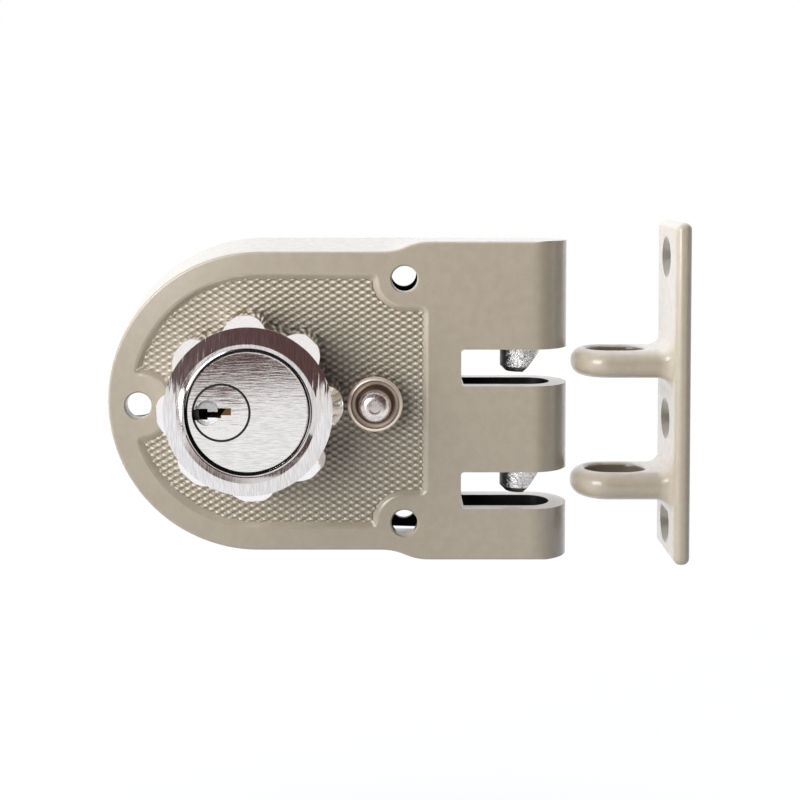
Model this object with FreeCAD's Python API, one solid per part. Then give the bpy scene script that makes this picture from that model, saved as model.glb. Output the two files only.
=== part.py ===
"""Surface-mounted interlocking lock with its separate two-ring strike.

Frame: millimetres, +Z up. The origin is on the door plane (y = 0), level with the centre of the
round end of the case. -Y points into the room, +X points towards the strike.
"""
import FreeCAD, Part
import math
import os

Vec = FreeCAD.Vector
AXIS_X = Vec(1, 0, 0)
AXIS_Y = Vec(0, 1, 0)
AXIS_Z = Vec(0, 0, 1)
OVERCUT = 1.0
TOLERANCE = 0.01

# Case: outer form
case_depth = 21.0
case_half_height = 44.45
case_draft = 2.85
case_edge_fillet = 0.8
shoulder_start = 33.8
shoulder_end = 47.7
case_length_right = 86.6
finger_end_radius = case_depth / 2
case_front = -case_depth

# Case: walls and hollows
side_wall = 3.4
front_wall = 3.6
gap_wall_x = 56.3
gap_corner_radius = 0.9
upper_gap = (4.2, 14.4)
lower_gap = (-30.1, -19.8)
finger_slot_depth = 12.6
finger_tip_wall = 4.8
cavity_floor = case_front + front_wall
cavity_right = gap_wall_x - side_wall
finger_slot_radius = finger_slot_depth / 2
finger_slot_end = case_length_right - finger_tip_wall

# Case: recessed panel and its seat for the collar
panel_border = 9.25
panel_right = 46.9
panel_depth = 1.2
panel_slope = 1.6
panel_corner_radius = 2.2
panel_lip_round = 1.4
panel_foot_round = 0.6
smallest_corner = 1.1
left_notch_radius = 8.8
right_notch_radius = 7.6
notch_corner_radius = 1.8
collar_seat_radius = 20.5
panel_floor = case_front + panel_depth
panel_radius = case_half_height - panel_border

# Mounting screw holes through the case
mount_hole_radius = 3.6
mount_hole_chamfer = 0.4
left_hole_inset = 11.25
left_hole_z = -1.2
right_holes_x = 40.6
right_holes_inset = 10.45
left_hole = (left_hole_inset - case_half_height, left_hole_z)
right_holes_z = case_half_height - right_holes_inset
mount_holes = (left_hole, (right_holes_x, right_holes_z), (right_holes_x, -right_holes_z))

# Cylinder and its collar
cylinder_x = -1.1
shell_radius = 14.9
shell_clearance = 0.1
case_bore_clearance = 0.3
shell_head_radius = 16.1
shell_head_thickness = 2.4
shell_head_bevel = 0.3
face_height = 17.8
collar_height = 15.9
lobe_count = 8
lobe_phase = 3.0
lobe_tip_radius = 25.3
lobe_radius = 6.2
lobe_valley_radius = 22.0
lobe_valley_fillet = 3.0
crown_start_radius = 22.3
crown_slope_angle = 53.0
crown_round = 2.0
ring_rim_radius = 22.5
ring_rim_height = 0.9
ring_lip_radius = 18.5
ring_lip_height = 20.0
ring_lip_width = 0.15
ring_bevel_width = 1.15
ring_bevel_depth = 1.35
ring_groove_radius = 16.75
ring_spigot_radius = 19.6
ring_spigot_depth = 1.5
spigot_clearance = 0.1
shell_rear = -12.9
face_y = case_front - face_height
collar_top = case_front - collar_height
head_seat = face_y + shell_head_thickness

# Plug, keyway and pin stacks
plug_offset = 6.9
plug_radius = 6.2
plug_clearance = 0.05
plug_head_radius = 7.75
plug_head_thickness = 2.0
plug_face_bevel = 0.35
keyway_depth = 24.0
keyway_mouth_end = -3.7
keyway_mouth_z = (-2.0, 0.9)
keyway_middle_end = 0.0
keyway_middle_z = (-1.45, 0.1)
keyway_inner_start = -1.0
keyway_inner_end = 2.6
keyway_inner_z = (-0.66, 1.2)
dimple_radius = 3.4
dimple_depth = 0.9
dimple_offset = 3.8
pin_count = 5
pin_radius = 1.35
pin_bore_clearance = 0.08
pin_pitch = 4.0
first_pin = 5.6
key_pin_lengths = (3.6, 4.4, 3.2, 4.8, 3.9)
driver_pin_length = 4.2
pin_end_chamfer = 0.4
shear_gap = 0.1
chamber_plug_length = 1.3
pin_spring_wire = 0.35
pin_spring_turns = 5
pin_spring_play = 0.1
wire_sides = 8
plug_neck_radius = 5.2
plug_neck_length = 1.2
clip_radius = 7.1
clip_thickness = 0.9
clip_clearance = 0.1
plug_x = cylinder_x - plug_offset
plug_rear = shell_rear + plug_neck_length

# Tailpiece, hub and rack
tail_base_radius = 4.8
tail_base_thickness = 0.9
tail_width = 6.4
tail_thickness = 1.6
tail_end = -1.0
tail_slot_clearance = 0.12
gear_teeth = 14
gear_module = 1.0
gear_pressure_angle = 25.0
gear_addendum = 0.85
gear_dedendum = 1.15
gear_backlash = 0.22
gear_flank_steps = 4
hub_journal_radius = 5.0
hub_collar_radius = 8.9
hub_collar_thickness = 0.9
hub_boss_radius = 4.6
hub_end_clearance = 0.3
bush_flange_radius = 8.5
bush_flange_thickness = 1.5
bush_wall = 1.6
running_clearance = 0.05
gear_pitch_radius = gear_teeth * gear_module / 2

# Bolt carrier and bolts
carrier_thickness = 3.0
carrier_rear = -3.5
carrier_half_height = 23.5
rack_clearance = 0.2
bolt_travel = 7.7
bolt_radius = 5.65
bolt_tip_gap = 2.0
bolt_length = 22.9
bolt_projection = 7.1
bolt_bevel = 5.2
bolt_bevel_height = 6.2
bolt_nose_chamfer = 1.5
bolt_end_clearance = 0.4
arm_height = 7.0
arm_thickness = 4.0
arm_fit = 0.08
arm_reach = 3.0
spine_width = 5.9
spine_clearance = 0.5
spine_depth = 9.0
rivet_radius = 1.5
bolt_x = finger_slot_end - finger_slot_radius - bolt_tip_gap
carrier_front = carrier_rear - carrier_thickness
bolt_y = -case_depth / 2
upper_tip = upper_gap[1] - bolt_projection
lower_tip = lower_gap[1] - bolt_projection
rack_pitch_x = plug_x + gear_pitch_radius
spine_right = cavity_right - spine_clearance
spine_left = spine_right - spine_width

# Guide posts and bolt springs
guide_x = 22.0
guide_z = 11.0
guide_radius = 2.0
guide_clearance = 0.15
guide_shoulder_radius = 3.1
guide_head_radius = 3.4
guide_head_thickness = 1.0
guide_tenon_radius = 1.5
guide_end_play = 0.2
bolt_spring_x = (10.0, 33.0)
bolt_spring_radius = 2.0
bolt_spring_wire = 0.5
bolt_spring_turns = 8
spring_pocket_width = 6.2
spring_pocket_floor = 13.0
spring_rib = (5.0, 36.0)
spring_rib_inset = 11.45
spring_rib_thickness = 2.5
spring_rib_z = case_half_height - spring_rib_inset

# Back plate and its screws, clamp plate and its screws
plate_thickness = 1.6
plate_gap = 1.0
plate_notch_inset = 7.45
plate_notch_radius = 7.6
plate_post_radius = 3.0
left_posts_x = -22.0
left_posts_inset = 19.45
right_posts_x = 27.0
upper_post_inset = 7.45
lower_post_inset = 9.45
plate_screw_radius = 1.5
plate_screw_head_radius = 2.8
plate_screw_head_depth = 1.3
plate_screw_hole = 9.0
plate_screw_kerf = 0.9
plate_screw_kerf_depth = 0.7
screw_point_gap = 1.0
screw_hole_clearance = 0.1
clamp_thickness = 1.5
clamp_half_height = 24.5
clamp_post_z = 20.5
clamp_left = -17.0
clamp_right = 10.0
clamp_gap = 0.5
clamp_hole_clearance = 0.4
clamp_screw_x = 5.5
clamp_screw_z = 9.0
clamp_screw_radius = 1.8
clamp_screw_head_radius = 3.2
clamp_screw_head_height = 2.0
clamp_screw_hole = 12.0
clamp_screw_slot = 0.8
plate_inner = -plate_thickness
plate_posts = (
    (left_posts_x, case_half_height - left_posts_inset),
    (left_posts_x, left_posts_inset - case_half_height),
    (right_posts_x, case_half_height - upper_post_inset),
    (right_posts_x, lower_post_inset - case_half_height),
)
clamp_front = shell_rear + clamp_gap
clamp_rear = clamp_front + clamp_thickness

# Push button
button_x = 32.5
button_flange_radius = 7.6
button_flange_height = 5.4
button_flange_thickness = 2.2
button_dish_depth = 1.0
button_boss_base = 4.8
button_boss_radius = 4.3
button_top = 10.4
button_edge_round = 0.9
button_dome_height = 2.3
button_dimple_radius = 1.8
button_dimple_depth = 0.35
button_skirt_radius = 4.6
button_skirt_overlap = 0.5
button_stem_radius = 2.6
button_travel = 2.5
button_stop_gap = 0.3
ferrule_radius = 5.9
ferrule_flange_radius = 7.2
ferrule_flange_height = 0.4
ferrule_clearance = 0.05
ferrule_inner_length = 2.0
ferrule_pocket_clearance = 0.3
ferrule_floor = 1.4
button_spring_wire = 0.4
button_spring_turns = 3
button_clip_radius = 4.2
button_clip_thickness = 0.8
button_tip = carrier_front - button_stop_gap - button_travel
flange_under = case_front - button_flange_height + button_flange_thickness
ferrule_front = case_front - ferrule_flange_height
ferrule_inner = cavity_floor + ferrule_inner_length
skirt_end = ferrule_front + button_skirt_overlap
pocket_floor = ferrule_inner - ferrule_floor

# Strike, drawn clear of the case as it stands before the door is shut
strike_offset = 27.3
strike_closed_gap = 1.1
strike_lift = 0.6
strike_thickness = 4.5
strike_proud = 3.5
strike_top = 49.6
strike_bottom = -45.3
strike_edge_radius = 2.0
strike_ring_reach = 27.0
strike_ring_inset = 0.3
strike_ring_height = 7.8
strike_ring_round = 3.6
strike_slot_length = 17.0
strike_slot_width = 12.0
strike_slot_round = 1.2
strike_root_length = 4.0
strike_root_rise = 4.0
strike_root_front = 1.65
strike_root_back = 0.2
strike_root_steps = 8
strike_root_inset = 0.05
strike_root_round = 3.4
strike_root_overlap = 0.3
strike_hole_z = (39.5, -6.6, -36.3)
strike_hole_radius = 2.75
strike_sink_radius = 6.0
strike_sink_depth = 2.6
strike_face_x = case_length_right + strike_closed_gap + strike_offset
strike_depth = case_depth + strike_proud
strike_ring_depth = case_depth - 2 * strike_ring_inset
strike_back_x = strike_face_x + strike_thickness
strike_nose_x = strike_face_x - strike_ring_reach
strike_ring_z = [sum(gap) / 2 + strike_lift for gap in (upper_gap, lower_gap)]


def box(x, y, z):
    """Box between the two values of each pair."""
    lows = [min(pair) for pair in (x, y, z)]
    sizes = [abs(pair[1] - pair[0]) for pair in (x, y, z)]
    return Part.makeBox(*sizes, Vec(*lows))


def rod_y(x, z, radius, y):
    """Cylinder along Y between the two values of y."""
    return Part.makeCylinder(radius, abs(y[1] - y[0]), Vec(x, min(y), z), AXIS_Y)


def rod_x(y, z, radius, x):
    """Cylinder along X between the two values of x."""
    return Part.makeCylinder(radius, abs(x[1] - x[0]), Vec(min(x), y, z), AXIS_X)


def rod_z(x, y, radius, z):
    """Cylinder along Z between the two values of z."""
    return Part.makeCylinder(radius, abs(z[1] - z[0]), Vec(x, y, min(z)), AXIS_Z)


def turned_y(x, z, profile):
    """Solid of revolution about the Y axis through (x, z), from a closed profile.

    Each step of the profile is (radius, y), reached by a straight line, or
    (radius, y, middle radius, middle y), reached by an arc through the middle point.
    """
    edges = []
    previous = profile[-1]
    for step in profile:
        start = Vec(x + previous[0], previous[1], z)
        end = Vec(x + step[0], step[1], z)
        if len(step) == 4:
            edges.append(arc(start, Vec(x + step[2], step[3], z), end))
        else:
            edges.append(line(start, end))
        previous = step
    face = Part.Face(Part.Wire(edges))
    return face.revolve(Vec(x, 0, z), AXIS_Y, 360)


def arc(start, middle, end):
    """Arc edge through three points."""
    return Part.Arc(start, middle, end).toShape()


def line(start, end):
    """Straight edge."""
    return Part.makeLine(start, end)


def polar(centre, radius, degrees, y):
    """Point at an angle about a centre (x, z), at depth y."""
    angle = math.radians(degrees)
    return Vec(centre[0] + radius * math.cos(angle), y, centre[1] + radius * math.sin(angle))


def outline(y, inset, right):
    """Case outline at depth y, moved inwards by inset and ended at x = right."""
    taper = case_draft * -y / case_depth
    low = case_half_height - taper - inset
    high = case_half_height - inset
    middle = (shoulder_start + shoulder_end) / 2
    edges = [
        arc(Vec(0, y, low), polar((0, 0), low, 135, y), Vec(-low, y, 0)),
        arc(Vec(-low, y, 0), polar((0, 0), low, 225, y), Vec(0, y, -low)),
    ]
    shoulder = []
    for sign in (-1, 1):
        curve = Part.BezierCurve()
        curve.setPoles(
            [
                Vec(shoulder_start, y, sign * low),
                Vec(middle, y, sign * low),
                Vec(middle, y, sign * high),
                Vec(shoulder_end, y, sign * high),
            ]
        )
        shoulder.append(curve.toShape())
    edges.append(line(Vec(0, y, -low), Vec(shoulder_start, y, -low)))
    edges.append(shoulder[0])
    edges.append(line(Vec(shoulder_end, y, -high), Vec(right, y, -high)))
    edges.append(line(Vec(right, y, -high), Vec(right, y, high)))
    edges.append(line(Vec(right, y, high), Vec(shoulder_end, y, high)))
    edges.append(shoulder[1])
    edges.append(line(Vec(shoulder_start, y, low), Vec(0, y, low)))
    return Part.Wire(Part.__sortEdges__(edges))


def lofted(wires):
    """Ruled solid through closed wires."""
    return Part.makeLoft(wires, True, True)


def stadium_z(x, y, radius, z):
    """Upright slot form: x holds its left face and its rounded right tip."""
    centre = x[1] - radius
    body = box((x[0], centre), (y - radius, y + radius), z)
    return body.fuse(rod_z(centre, y, radius, z)).removeSplitter()


def panel_outline(y, inset):
    """Outline of the recessed panel, moved inwards by inset."""
    radius = panel_radius - inset
    right = panel_right - inset
    notch = right_notch_radius + inset
    corner = max(panel_corner_radius - inset, smallest_corner)
    edges = []
    for sign in (1, -1):
        centre = (right_holes_x, sign * right_holes_z)
        drop = math.degrees(math.asin((radius - right_holes_z) / notch))
        top = polar(centre, notch, sign * (180 - drop), y)
        middle = polar(centre, notch, sign * (225 - drop / 2), y)
        bottom = polar(centre, notch, sign * 270, y)
        edge_z = right_holes_z - notch
        inner = (right - corner, sign * (edge_z - corner))
        edges.append(line(Vec(0, y, sign * radius), top))
        edges.append(arc(top, middle, bottom))
        edges.append(line(bottom, Vec(inner[0], y, sign * edge_z)))
        edges.append(
            arc(
                Vec(inner[0], y, sign * edge_z),
                polar(inner, corner, sign * 45, y),
                Vec(right, y, inner[1]),
            )
        )
    edges.append(
        line(
            Vec(right, y, right_holes_z - notch - corner),
            Vec(right, y, corner + notch - right_holes_z),
        )
    )
    notch = left_notch_radius + inset
    reach = math.hypot(*left_hole)
    along = (reach**2 + radius**2 - notch**2) / (2 * reach * radius)
    spread = math.degrees(math.acos(along))
    heading = math.degrees(math.atan2(left_hole[1], left_hole[0])) % 360
    start = polar((0, 0), radius, heading - spread, y)
    end = polar((0, 0), radius, heading + spread, y)
    edges.append(arc(Vec(0, y, radius), polar((0, 0), radius, (90 + heading - spread) / 2, y), start))
    edges.append(arc(start, Vec(left_hole[0] + notch, y, left_hole[1]), end))
    edges.append(arc(end, polar((0, 0), radius, (270 + heading + spread) / 2, y), Vec(0, y, -radius)))
    return Part.Wire(Part.__sortEdges__(edges))


def panel_tool():
    """Solid that the recessed panel takes out of the case front, with its sharp corners rounded."""
    tool = lofted([panel_outline(case_front, 0), panel_outline(panel_floor, panel_slope)])
    corners = []
    for edge in tool.Edges:
        ends = [vertex.Point for vertex in edge.Vertexes]
        if edge.BoundBox.YLength < panel_depth / 2:
            continue
        front = min(ends, key=lambda point: point.y)
        on_rim = math.isclose(math.hypot(front.x, front.z), panel_radius, abs_tol=TOLERANCE)
        at_left = on_rim and front.x < -TOLERANCE
        at_right = front.x > TOLERANCE and abs(abs(front.z) - panel_radius) < TOLERANCE
        if at_left or at_right:
            corners.append(edge)
    tool = tool.makeFillet(notch_corner_radius, corners)
    foot = [edge for edge in tool.Edges if edge.BoundBox.YMin > panel_floor - TOLERANCE]
    return tool.makeFillet(panel_foot_round, foot)


def panel_rim(body):
    """Edges where the recess meets the case front."""
    found = []
    for edge in body.Edges:
        bounds = edge.BoundBox
        level = max(abs(bounds.YMin - case_front), abs(bounds.YMax - case_front)) < TOLERANCE
        reach = max(-bounds.XMin, bounds.ZMax, -bounds.ZMin)
        if level and reach < panel_radius + TOLERANCE and bounds.XMax < panel_right + TOLERANCE:
            found.append(edge)
    return found


def make_case():
    """Cast case: round end, three hollow fingers, recessed panel, posts and spring rib inside."""
    body = lofted([outline(0, 0, case_length_right), outline(case_front, 0, case_length_right)])
    rim = [edge for edge in body.Edges if edge.BoundBox.YMax < case_front + TOLERANCE]
    body = body.makeFillet(case_edge_fillet, rim)
    span = (-case_half_height - OVERCUT, case_half_height + OVERCUT)
    plan = stadium_z((span[0], case_length_right), -finger_end_radius, finger_end_radius, span)
    body = body.common(plan)
    for gap in (upper_gap, lower_gap):
        tool = box((gap_wall_x, case_length_right + OVERCUT), (case_front - OVERCUT, OVERCUT), gap)
        corners = [
            edge
            for edge in tool.Edges
            if edge.BoundBox.XMax < gap_wall_x + TOLERANCE and edge.BoundBox.YLength > case_depth
        ]
        body = body.cut(tool.makeFillet(gap_corner_radius, corners))
    cavity = lofted(
        [outline(OVERCUT, side_wall, cavity_right), outline(cavity_floor, side_wall, cavity_right)]
    )
    body = body.cut(cavity)
    roof = case_half_height - side_wall
    fingers = ((upper_gap[1], roof), (lower_gap[1], upper_gap[0]), (-roof, lower_gap[0]))
    for z in fingers:
        body = body.cut(
            stadium_z((cavity_right - OVERCUT, finger_slot_end), bolt_y, finger_slot_radius, z)
        )
    body = body.cut(panel_tool())
    body = body.makeFillet(panel_lip_round, panel_rim(body))
    seat = (case_front, panel_floor + OVERCUT)
    body = body.fuse(rod_y(cylinder_x, 0, collar_seat_radius, seat))
    through = (case_front - OVERCUT, cavity_floor + OVERCUT)
    body = body.cut(rod_y(cylinder_x, 0, shell_radius + case_bore_clearance, through))
    body = body.cut(rod_y(button_x, 0, ferrule_radius + ferrule_clearance, through))
    for x, z in mount_holes:
        body = body.cut(rod_y(x, z, mount_hole_radius, through))
        wide = mount_hole_radius + mount_hole_chamfer
        rim = [(0, case_front), (wide, case_front), (0, case_front + wide)]
        body = body.cut(turned_y(x, z, rim))
    root = cavity_floor - OVERCUT
    screw_root = plate_inner - plate_screw_hole
    for x, z in plate_posts:
        post = rod_y(x, z, plate_post_radius, (root, plate_inner))
        bore = rod_y(x, z, plate_screw_radius, (screw_root, 0))
        body = body.fuse(post).cut(bore)
    for sign in (-1, 1):
        post = rod_y(cylinder_x, sign * clamp_post_z, plate_post_radius, (root, clamp_front))
        body = body.fuse(post)
    rib = box(spring_rib, (root, plate_inner), (spring_rib_z, spring_rib_z + spring_rib_thickness))
    return body.fuse(rib).cut(rod_y(*plate_posts[2], plate_screw_radius, (screw_root, 0)))


def countersunk_y(x, z, radius, head_radius, head_depth, face, tip):
    """Flat-head screw along -Y with its head flush with y = face."""
    profile = [(0, face), (head_radius, face), (radius, face - head_depth), (radius, tip), (0, tip)]
    return turned_y(x, z, profile)


def make_back_plate():
    """Steel plate inside the back of the case, with its bush, post, screw and mounting holes."""
    inset = side_wall + plate_gap
    right = cavity_right - plate_gap / 2
    wires = [outline(y, inset, right) for y in (0, plate_inner)]
    plate = lofted(wires)
    span = (plate_inner - OVERCUT, OVERCUT)
    notch_x = plate_notch_inset - case_half_height
    notch_z = (-plate_notch_radius, plate_notch_radius)
    plate = plate.cut(rod_y(notch_x, 0, plate_notch_radius, span))
    plate = plate.cut(box((-case_half_height, notch_x), span, notch_z))
    for x, z in mount_holes[1:]:
        plate = plate.cut(rod_y(x, z, mount_hole_radius, span))
    plate = plate.cut(rod_y(plug_x, 0, bush_outer(), span))
    for sign in (-1, 1):
        plate = plate.cut(rod_y(guide_x, sign * guide_z, guide_tenon_radius, span))
    for x, z in plate_posts:
        sink = countersunk_y(
            x,
            z,
            plate_screw_radius + screw_hole_clearance,
            plate_screw_head_radius + screw_hole_clearance,
            plate_screw_head_depth,
            0,
            plate_inner - OVERCUT,
        )
        plate = plate.cut(sink)
    return plate


def make_plate_screws():
    """Four slotted flat-head screws that hold the back plate on its posts."""
    tip = plate_inner - plate_screw_hole + screw_point_gap
    half = plate_screw_kerf / 2
    screws = []
    for x, z in plate_posts:
        screw = countersunk_y(
            x, z, plate_screw_radius, plate_screw_head_radius, plate_screw_head_depth, 0, tip
        )
        across = (x - plate_screw_head_radius, x + plate_screw_head_radius)
        kerf = box(across, (-plate_screw_kerf_depth, OVERCUT), (z - half, z + half))
        screws.append(screw.cut(kerf))
    return screws


def lobed_body():
    """Scalloped body of the collar, before its valleys are rounded."""
    span = (case_front, collar_top)
    body = rod_y(cylinder_x, 0, lobe_valley_radius, span)
    for index in range(lobe_count):
        angle = lobe_phase + index * 360 / lobe_count
        centre = polar((cylinder_x, 0), lobe_tip_radius - lobe_radius, angle, 0)
        body = body.fuse(rod_y(centre.x, centre.z, lobe_radius, span))
    return body.removeSplitter()


def make_lobed_collar():
    """Eight-lobed collar that stands on the case front, its lobes sloped off towards the room."""
    body = lobed_body()
    corners = [
        edge
        for edge in body.Edges
        if edge.BoundBox.YLength > collar_height / 2
        and math.hypot(edge.CenterOfMass.x - cylinder_x, edge.CenterOfMass.z)
        < lobe_valley_radius + TOLERANCE
    ]
    body = body.makeFillet(lobe_valley_fillet, corners)
    slope = math.radians(crown_slope_angle)
    middle = (slope + math.pi / 2) / 2
    slope_end = lobe_tip_radius - crown_round * (1 - math.sin(slope))
    slope_end_y = collar_top + (slope_end - crown_start_radius) * math.tan(slope)
    crown_y = slope_end_y + crown_round * math.cos(slope)
    profile = [
        (0, case_front + OVERCUT),
        (lobe_tip_radius, case_front + OVERCUT),
        (lobe_tip_radius, crown_y),
        (
            slope_end,
            slope_end_y,
            lobe_tip_radius - crown_round * (1 - math.sin(middle)),
            crown_y - crown_round * math.cos(middle),
        ),
        (crown_start_radius, collar_top),
        (0, collar_top),
    ]
    body = body.common(turned_y(cylinder_x, 0, profile))
    bore = rod_y(cylinder_x, 0, shell_radius + shell_clearance, (collar_top - OVERCUT, 0))
    spigot = rod_y(
        cylinder_x,
        0,
        ring_spigot_radius + spigot_clearance,
        (collar_top - OVERCUT, collar_top + ring_spigot_depth),
    )
    return body.cut(bore).cut(spigot)


def make_collar_ring():
    """Tapered ring around the cylinder head, bevelled inside, with a ledge under the head."""
    bore = shell_radius + shell_clearance
    groove = ring_groove_radius
    lip = case_front - ring_lip_height
    bevel = ring_lip_radius - ring_lip_width
    profile = [
        (bore, collar_top + ring_spigot_depth),
        (ring_spigot_radius, collar_top + ring_spigot_depth),
        (ring_spigot_radius, collar_top),
        (ring_rim_radius, collar_top),
        (ring_rim_radius, collar_top - ring_rim_height),
        (ring_lip_radius, lip),
        (bevel, lip),
        (bevel - ring_bevel_width, lip + ring_bevel_depth),
        (groove, face_y),
        (groove, head_seat),
        (bore, head_seat),
    ]
    return turned_y(cylinder_x, 0, profile)


def pin_rows():
    """Depth of each pin stack."""
    return [face_y + first_pin + index * pin_pitch for index in range(pin_count)]


def shear_x():
    """Where the plug's surface crosses the pin stacks."""
    return plug_x + plug_radius


def make_cylinder_shell():
    """Round lock cylinder with an eccentric bore for the plug and a row of pin chambers."""
    profile = [
        (0, face_y),
        (shell_head_radius - shell_head_bevel, face_y),
        (shell_head_radius, face_y + shell_head_bevel),
        (shell_head_radius, head_seat),
        (shell_radius, head_seat),
        (shell_radius, shell_rear),
        (0, shell_rear),
    ]
    body = turned_y(cylinder_x, 0, profile)
    rear = shell_rear + OVERCUT
    body = body.cut(rod_y(plug_x, 0, plug_radius + plug_clearance, (face_y - OVERCUT, rear)))
    head_bore = plug_head_radius + plug_clearance
    body = body.cut(
        rod_y(plug_x, 0, head_bore, (face_y - OVERCUT, face_y + plug_head_thickness))
    )
    outer = cylinder_x + shell_radius
    for y in pin_rows():
        body = body.cut(rod_x(y, 0, pin_radius + pin_bore_clearance, (plug_x, outer + OVERCUT)))
    for sign in (-1, 1):
        screw = (shell_rear - clamp_screw_hole, rear)
        body = body.cut(rod_y(clamp_screw_x, sign * clamp_screw_z, clamp_screw_radius, screw))
    return body


def keyway():
    """Stepped horizontal keyway that opens at the left of the plug."""
    y = (face_y - OVERCUT, face_y + keyway_depth)
    left = plug_x - plug_head_radius - OVERCUT
    mouth = box((left, plug_x + keyway_mouth_end), y, keyway_mouth_z)
    middle_x = (plug_x + keyway_mouth_end - OVERCUT, plug_x + keyway_middle_end)
    middle = box(middle_x, y, keyway_middle_z)
    inner_x = (plug_x + keyway_inner_start, plug_x + keyway_inner_end)
    inner = box(inner_x, y, keyway_inner_z)
    return mouth.fuse(middle).fuse(inner).removeSplitter()


def make_plug():
    """Plug with its head, keyway, key dimple, pin bores and reduced neck."""
    head_y = face_y + plug_head_thickness
    profile = [
        (0, face_y),
        (plug_head_radius - plug_face_bevel, face_y),
        (plug_head_radius, face_y + plug_face_bevel),
        (plug_head_radius, head_y - plug_clearance),
        (plug_radius, head_y - plug_clearance),
        (plug_radius, shell_rear),
        (plug_neck_radius, shell_rear),
        (plug_neck_radius, plug_rear),
        (0, plug_rear),
    ]
    body = turned_y(plug_x, 0, profile).cut(keyway())
    dimple = [
        (0, face_y - OVERCUT),
        (dimple_radius, face_y - OVERCUT),
        (dimple_radius, face_y),
        (dimple_radius - dimple_depth, face_y + dimple_depth),
        (0, face_y + dimple_depth),
    ]
    body = body.cut(turned_y(plug_x - dimple_offset, 0, dimple))
    for y in pin_rows():
        body = body.cut(rod_x(y, 0, pin_radius + pin_bore_clearance, (plug_x, shear_x() + OVERCUT)))
    return body


def rounded_pin(y, x0, x1):
    """Pin along X with small end chamfers, inside the plug's curve at x1."""
    pin = rod_x(y, 0, pin_radius, (x0, x1))
    rims = [edge for edge in pin.Edges if edge.Length > pin_radius and len(edge.Vertexes) == 1]
    return pin.makeChamfer(pin_end_chamfer, rims)


def make_pin_stacks():
    """Key pins, driver pins, driver springs and chamber plugs, each as a group of solids."""
    drop = plug_radius - math.sqrt(plug_radius**2 - pin_radius**2)
    shear = shear_x()
    cap_x = cylinder_x + math.sqrt(shell_radius**2 - (pin_radius + pin_bore_clearance) ** 2)
    key_pins = []
    drivers = []
    springs = []
    caps = []
    for y, length in zip(pin_rows(), key_pin_lengths):
        key_pins.append(rounded_pin(y, shear - drop - length, shear - drop))
        start = shear + shear_gap
        drivers.append(rounded_pin(y, start, start + driver_pin_length))
        cap_start = cap_x - chamber_plug_length
        caps.append(rod_x(y, 0, pin_radius + pin_bore_clearance, (cap_start, cap_x)))
        spring_ends = (start + driver_pin_length, cap_start)
        springs.append(coil_x(y, spring_ends))
    return key_pins, drivers, springs, caps


def swept_coil(radius, wire, height, turns):
    """Helical spring along +Z from the origin, ends inside the height, wire of many flats."""
    pitch = (height - wire) / turns
    helix = Part.makeHelix(pitch, height - wire, radius)
    helix.translate(Vec(0, 0, wire / 2))
    corners = []
    for index in range(wire_sides):
        corner = polar((radius, wire / 2), wire / 2, 360 * index / wire_sides, 0)
        corners.append(corner)
    section = Part.makePolygon(corners + [corners[0]])
    return Part.Wire(helix).makePipeShell([section], True, True)


def coil_x(y, x):
    """Driver spring between two values of x."""
    radius = pin_radius - pin_spring_wire / 2 - pin_spring_play
    coil = swept_coil(radius, pin_spring_wire, x[1] - x[0], pin_spring_turns)
    coil.rotate(Vec(0, 0, 0), AXIS_Y, 90)
    coil.translate(Vec(x[0], y, 0))
    return coil


def make_plug_clip():
    """Retaining ring on the plug's neck, behind the shell."""
    inner = plug_neck_radius + plug_clearance
    front = shell_rear + clip_clearance
    ring = rod_y(plug_x, 0, clip_radius, (front, front + clip_thickness))
    return ring.cut(rod_y(plug_x, 0, inner, (front - OVERCUT, front + clip_thickness + OVERCUT)))


def make_tailpiece():
    """Flat bar on a round base behind the plug."""
    base_end = plug_rear + tail_base_thickness
    base = rod_y(plug_x, 0, tail_base_radius, (plug_rear, base_end))
    blade = box(
        (plug_x - tail_thickness / 2, plug_x + tail_thickness / 2),
        (base_end, tail_end),
        (-tail_width / 2, tail_width / 2),
    )
    return base.fuse(blade)


def gear_wire(y):
    """Involute gear outline about (plug_x, 0), with a gap facing +X."""
    pitch = gear_pitch_radius
    pressure = math.radians(gear_pressure_angle)
    base = pitch * math.cos(pressure)
    root = pitch - gear_dedendum * gear_module
    tip = pitch + gear_addendum * gear_module
    half_tooth = (math.pi * gear_module / 2 - gear_backlash) / 2 / pitch

    def half_angle(radius):
        """Half of the tooth's angle at a radius."""
        roll = math.acos(min(base / radius, 1))
        involute = math.tan(roll) - roll
        return half_tooth + math.tan(pressure) - pressure - involute

    start = max(base, root)
    stride = (tip - start) / gear_flank_steps
    radii = [start + stride * step for step in range(gear_flank_steps + 1)]
    points = []
    for tooth in range(gear_teeth):
        middle = math.degrees(2 * math.pi * (tooth + 0.5) / gear_teeth)
        flank = [(root, half_angle(start))] if root < start else []
        flank += [(radius, half_angle(radius)) for radius in radii]
        for radius, half in flank:
            points.append(polar((plug_x, 0), radius, middle - math.degrees(half), y))
        for radius, half in reversed(flank):
            points.append(polar((plug_x, 0), radius, middle + math.degrees(half), y))
    return Part.makePolygon(points + [points[0]])


def bush_outer():
    """Outer radius of the hub bush's sleeve."""
    return hub_journal_radius + running_clearance + bush_wall


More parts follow.
